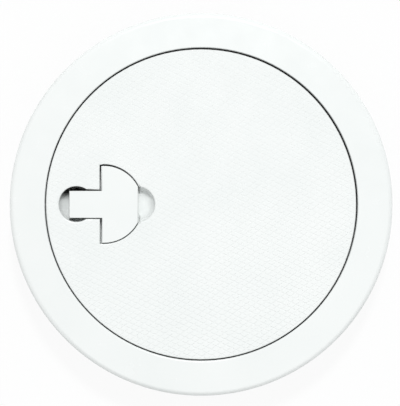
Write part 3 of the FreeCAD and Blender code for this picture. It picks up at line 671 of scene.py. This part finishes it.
# Pan head thread-forming screws, cross recess, seen from below the lid
screw = {
    "headRadius": 3.1 * mm,
    "headHeight": 2.0 * mm,
    "headRound": 0.9 * mm,
    "headSteps": 5,
    "steps": 32,
    "coreRadius": 1.1 * mm,
    "threadRadius": 1.5 * mm,
    "threadRoot": 0.99 * mm,       # where the thread starts, inside the core
    "threadHalf": 0.33 * mm,       # half its width there
    "threadSteps": 20,             # to a turn
    "plainShank": 1.65 * mm,       # left by the thread, a pitch of it at the seat
    "pitch": 1.1 * mm,
    "length": 9.0 * mm,
    "tip": 1.2 * mm,
    "recessReach": 1.55 * mm,      # half a slot's length, and its width, at the cutter's outer end
    "recessWidth": 0.62 * mm,
    "recessDepth": 1.3 * mm,
    "recessTaper": (0.45, 0.7),    # a slot's floor against that end, along it and across
    "firstTurn": 35,               # degrees, because no two screws stop alike
    "nextTurn": 50,
    "endSpread": 19.0 * mm,
}


def screwShape():
    # head down, seat at zero, shank up
    shoulder = screw["length"] - screw["tip"]
    bm = bmesh.new()
    spots = [
        (0, -screw["headHeight"]),
        (screw["headRadius"], -screw["headHeight"]),
        (screw["headRadius"], 0),
        (screw["coreRadius"], 0),
        (screw["coreRadius"], shoulder),
        (0, screw["length"]),
    ]
    verts = [bmesh.ops.create_vert(bm, co=(x, 0, z))["vert"][0] for x, z in spots]
    for first, second in zip(verts, verts[1:]):
        bm.edges.new((first, second))
    bmesh.ops.bevel(bm, geom=[verts[1]], offset=screw["headRound"], segments=screw["headSteps"],
                    profile=0.5, affect="VERTICES", material=-1)
    bmesh.ops.spin(bm, geom=bm.verts[:] + bm.edges[:], axis=(0, 0, 1), angle=math.tau, steps=screw["steps"],
                   use_merge=True)
    bmesh.ops.remove_doubles(bm, verts=bm.verts, dist=weld)
    bmesh.ops.recalc_face_normals(bm, faces=bm.faces)
    return bm


def threadMesh():
    # one pointed section, spun up the shank
    turns = (screw["length"] - screw["tip"] - screw["plainShank"]) / screw["pitch"]
    steps = round(turns * screw["threadSteps"])
    root, half = screw["threadRoot"], screw["threadHalf"]
    bm = bmesh.new()
    spots = [(root, -half), (screw["threadRadius"], 0), (root, half)]
    verts = [bmesh.ops.create_vert(bm, co=(x, 0, z + screw["pitch"]))["vert"][0] for x, z in spots]
    bmesh.ops.contextual_create(bm, geom=verts)
    bmesh.ops.spin(bm, geom=bm.faces[:], axis=(0, 0, 1), dvec=(0, 0, screw["pitch"] * turns / steps),
                   angle=math.tau * turns, steps=steps)
    bmesh.ops.recalc_face_normals(bm, faces=bm.faces)
    return meshFrom("thread", bm)


def recessShape(turn):
    bm = bmesh.new()
    bmesh.ops.create_cube(bm, size=1.0)
    bmesh.ops.scale(bm, verts=bm.verts, vec=(2 * screw["recessReach"], screw["recessWidth"],
                                             2 * screw["recessDepth"]))
    top = [vert for vert in bm.verts if vert.co.z > 0]
    bmesh.ops.scale(bm, verts=top, vec=(*screw["recessTaper"], 1))
    bmesh.ops.rotate(bm, verts=bm.verts, matrix=Matrix.Rotation(turn, 3, "Z"))
    bmesh.ops.translate(bm, verts=bm.verts, vec=(0, 0, -screw["headHeight"]))
    return bm


def screwSet(name, node, spots):
    # one screw, copied to each spot with its thread and turned a little further each time
    master = newPiece(name, screwShape(), "steel", "lid", node)
    carve(master, [recessShape(0), recessShape(math.radians(90))], "DIFFERENCE")
    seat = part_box(node)[0].z + screw["headHeight"]
    thread = threadMesh()
    bm = bmesh.new()
    for number, (x, y) in enumerate(spots):
        turn = math.radians(screw["firstTurn"] + screw["nextTurn"] * number)
        for source in (master.data, thread):
            before = set(bm.verts)
            bm.from_mesh(source)
            added = [vert for vert in bm.verts if vert not in before]
            bmesh.ops.rotate(bm, verts=added, matrix=Matrix.Rotation(turn, 3, "Z"))
            bmesh.ops.translate(bm, verts=added, vec=(x, y, seat))
    bm.to_mesh(master.data)
    bm.free()
    master.data.set_sharp_from_angle(angle=sharpAngle)


low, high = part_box("housing_screws")
sideX, endX = low.x + screw["headRadius"], high.x - screw["headRadius"]
sideY, endY = high.y - screw["headRadius"], screw["endSpread"]
screwSet("housing_screw_set", "housing_screws",
         [(sideX, sideY), (sideX, -sideY), (endX, endY), (endX, -endY)])
low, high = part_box("catch_screws")
middleX, sideY = (low.x + high.x) / 2, high.y - screw["headRadius"]
screwSet("catch_screw_set", "catch_screws", [(middleX, sideY), (middleX, -sideY)])
print("screws")


# Turned pin and cold-coiled spring
pin = {
    "round": 0.3 * mm,
    "roundSteps": 3,
    "steps": 40,
}
spring = {
    "wire": 0.7 * mm,
    "wireSteps": 12,
    "turns": 6.5,
    "stepsPerTurn": 28,
    "travel": 7.2 * mm,      # of the bolt that presses it
}


def pivotPin():
    low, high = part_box("pivot_pin")
    radius = (high.x - low.x) / 2
    bm = bmesh.new()
    bmesh.ops.create_cone(bm, cap_ends=True, segments=pin["steps"], radius1=radius, radius2=radius,
                          depth=high.y - low.y)
    ends = [edge for edge in bm.edges if edge.calc_face_angle() > sharpAngle]
    bmesh.ops.bevel(bm, geom=ends, offset=pin["round"], segments=pin["roundSteps"], profile=0.5,
                    affect="EDGES", material=-1)
    bmesh.ops.rotate(bm, verts=bm.verts, matrix=Matrix.Rotation(math.radians(90), 3, "X"))
    bmesh.ops.translate(bm, verts=bm.verts, vec=(low + high) / 2)
    newPiece("pivot_pin_turned", bm, "steel", "handle", "pivot_pin")


def boltSpring():
    low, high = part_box("bolt_spring")
    wireRadius = spring["wire"] / 2
    middle = (low.z + high.z) / 2
    coil = (high.z - low.z) / 2 - wireRadius
    steps = round(spring["turns"] * spring["stepsPerTurn"])
    rise = (high.x - low.x - spring["wire"]) / steps
    bm = bmesh.new()
    bmesh.ops.create_circle(bm, cap_ends=True, segments=spring["wireSteps"], radius=wireRadius)
    bmesh.ops.translate(bm, verts=bm.verts, vec=(low.x + wireRadius, coil, middle))
    bmesh.ops.spin(bm, geom=bm.faces[:], cent=(0, 0, middle), axis=(1, 0, 0), dvec=(rise, 0, 0),
                   angle=math.tau * spring["turns"], steps=steps)
    bmesh.ops.recalc_face_normals(bm, faces=bm.faces)
    piece = newPiece("bolt_spring_coil", bm, "steel", "lid", "bolt_spring")
    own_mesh(piece)


pivotPin()
boltSpring()
print("pin and spring")


def floorMaterial():
    # nearly white to the camera and in reflections, and the rest of it shows the shadow
    made, tree = newMaterial("pale floor")[:2]
    paint = addNode(tree, "ShaderNodeBsdfDiffuse", {"Color": hexToLinear(studio["floorColour"])})
    glow = addNode(tree, "ShaderNodeEmission", {"Color": (1, 1, 1, 1), "Strength": 1.0})
    rays = addNode(tree, "ShaderNodeLightPath")
    seen = addNode(tree, "ShaderNodeMath", {"operation": "MAXIMUM"},
                   {0: rays.outputs["Is Camera Ray"], 1: rays.outputs["Is Glossy Ray"]})
    through = addNode(tree, "ShaderNodeMath", {"operation": "MAXIMUM"},
                      {0: seen.outputs[0], 1: rays.outputs["Is Transmission Ray"]})
    share = addNode(tree, "ShaderNodeMath", {"operation": "MULTIPLY", 1: studio["floorGlow"]},
                    {0: through.outputs[0]})
    mixed = addNode(tree, "ShaderNodeMixShader",
                    links={0: share.outputs[0], 1: paint.outputs[0], 2: glow.outputs[0]})
    addNode(tree, "ShaderNodeOutputMaterial", links={"Surface": mixed.outputs[0]})
    return made


def makeFloor():
    bm = bmesh.new()
    bmesh.ops.create_grid(bm, x_segments=1, y_segments=1, size=studio["floorReach"])
    bmesh.ops.translate(bm, verts=bm.verts, vec=(0, 0, cadBox[0].z))
    mesh = meshFrom("floor", bm)
    mesh.materials.append(floorMaterial())
    floor = bpy.data.objects.new("floor", mesh)
    bpy.context.collection.objects.link(floor)


def makeSky():
    # white to the camera, and less than that as light on the object
    world = bpy.data.worlds.new("studio")
    bpy.context.scene.world = world
    world.use_nodes = True
    tree = world.node_tree
    tree.nodes.clear()
    rays = addNode(tree, "ShaderNodeLightPath")
    seen = addNode(tree, "ShaderNodeMapRange", {"To Min": studio["skyStrength"], "To Max": 1.0},
                   {"Value": rays.outputs["Is Camera Ray"]})
    light = addNode(tree, "ShaderNodeBackground", {"Color": (1, 1, 1, 1)}, {"Strength": seen.outputs[0]})
    addNode(tree, "ShaderNodeOutputWorld", links={"Surface": light.outputs[0]})


def makeLamp(name):
    lamp = bpy.data.lights.new(name, "AREA")
    lamp.shape = "DISK"
    lamp.size = studio[name + "Size"]
    lamp.energy = studio[name + "Power"]
    made = bpy.data.objects.new(name, lamp)
    made.location = studio[name + "Place"]
    made.rotation_mode = "QUATERNION"
    made.rotation_quaternion = (-Vector(studio[name + "Place"])).to_track_quat("-Z", "Y")
    made.visible_camera = False
    bpy.context.collection.objects.link(made)


def makeCamera():
    lens = bpy.data.cameras.new("camera")
    lens.sensor_fit = "HORIZONTAL"
    span = studio["pixelsAcross"] * studio["pixelSize"]
    lens.lens = lens.sensor_width * (studio["cameraHeight"] - lidTop) / span
    camera = bpy.data.objects.new("camera", lens)
    camera.location = (*studio["aim"], studio["cameraHeight"])
    bpy.context.collection.objects.link(camera)
    bpy.context.scene.camera = camera


makeFloor()
makeSky()
makeLamp("key")
makeLamp("fill")
makeCamera()
bpy.context.scene.view_settings.view_transform = "Standard"
print("studio ready")
